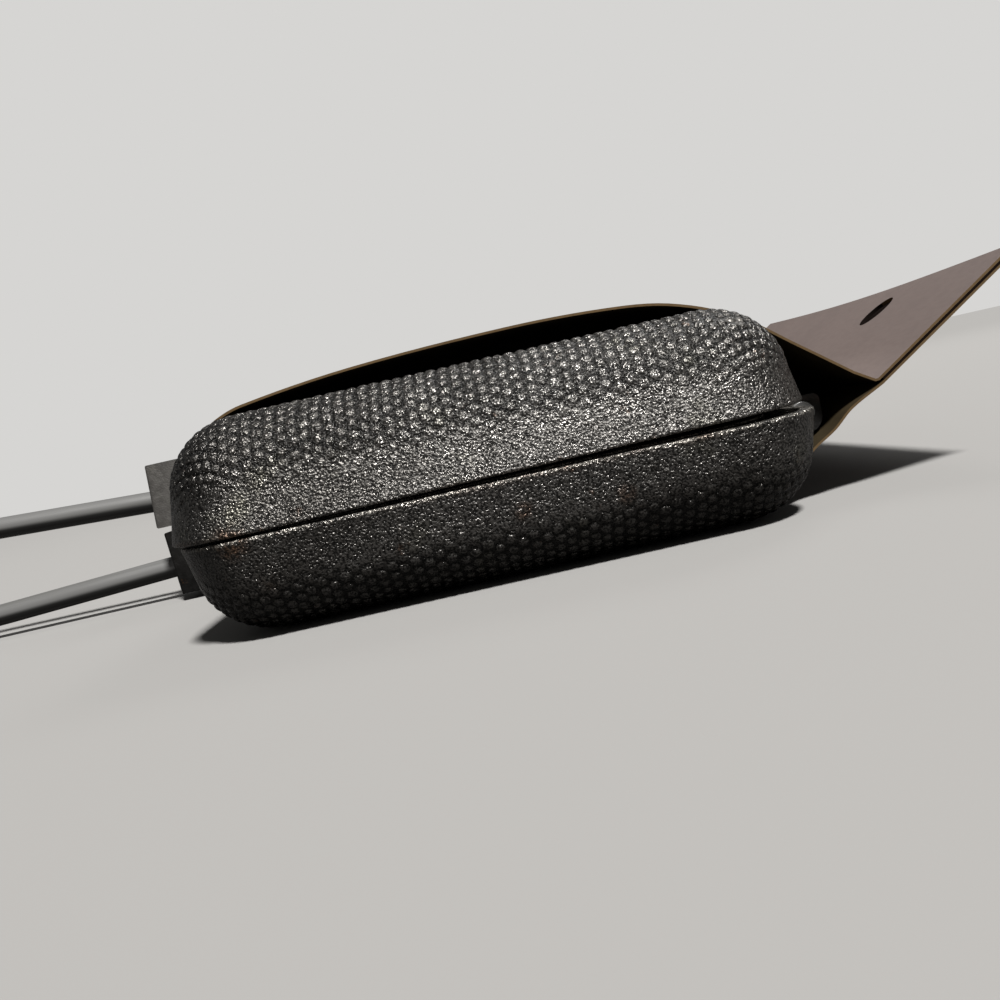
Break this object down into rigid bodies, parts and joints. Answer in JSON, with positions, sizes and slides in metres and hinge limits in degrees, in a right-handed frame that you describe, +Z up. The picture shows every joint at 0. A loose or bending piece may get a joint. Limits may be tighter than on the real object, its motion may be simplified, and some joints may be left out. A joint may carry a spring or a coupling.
{
  "type": "double pie iron",
  "caption": "Long-handled cast-iron double pie iron: two hinged half shells with twin sandwich pockets, steel rods, wooden grips, latch hook and a plain card sleeve.",
  "frame": {"origin": "middle of the lower shell's flat outer face, on which the head lies", "axes": "+Z up, from the lower half to the upper half; +X from the grips to the hinge; Y along the head's long side"},
  "size_m": [0.747, 0.2178, 0.0472],
  "materials": {
    "cast_iron": "sand-cast, pre-seasoned, satin",
    "steel": "drawn steel rod, dull",
    "plated_steel": "nickel plated",
    "wood": "turned hardwood, lacquered",
    "card": "brown kraft board, matt"
  },
  "bodies": {
    "lower_half": {"lower_shell": "cast_iron", "hinge_pin_near": "steel", "hinge_pin_far": "steel", "lower_rod": "steel", "lower_grip": "wood", "lower_ferrule": "plated_steel", "lower_end_washer": "plated_steel", "lower_end_nut": "plated_steel", "latch_collars": "plated_steel"},
    "upper_half": {"upper_shell": "cast_iron", "upper_rod": "steel", "upper_grip": "wood", "upper_ferrule": "plated_steel", "upper_end_washer": "plated_steel", "upper_end_nut": "plated_steel"},
    "hook": {"latch_hook": "plated_steel"},
    "sleeve": {"card_sleeve": "card"}
  },
  "joints": [
    {"name": "lid_hinge", "type": "hinge", "parent": "lower_half", "child": "upper_half", "pos_m": [0.0652, 0, 0.01688], "axis": [0, 1, 0], "range_deg": [0, 175], "deforming": ["card_sleeve"]},
    {"name": "latch_swivel", "type": "hinge", "parent": "lower_half", "child": "hook", "pos_m": [-0.448, 0, 0.00821], "axis": [1, 0, -0.0091], "range_deg": [0, 90]},
    {"name": "sleeve_slide", "type": "slide", "parent": "lower_half", "child": "sleeve", "axis": [0, -1, 0], "range_m": [0, 0.2]}
  ]
}
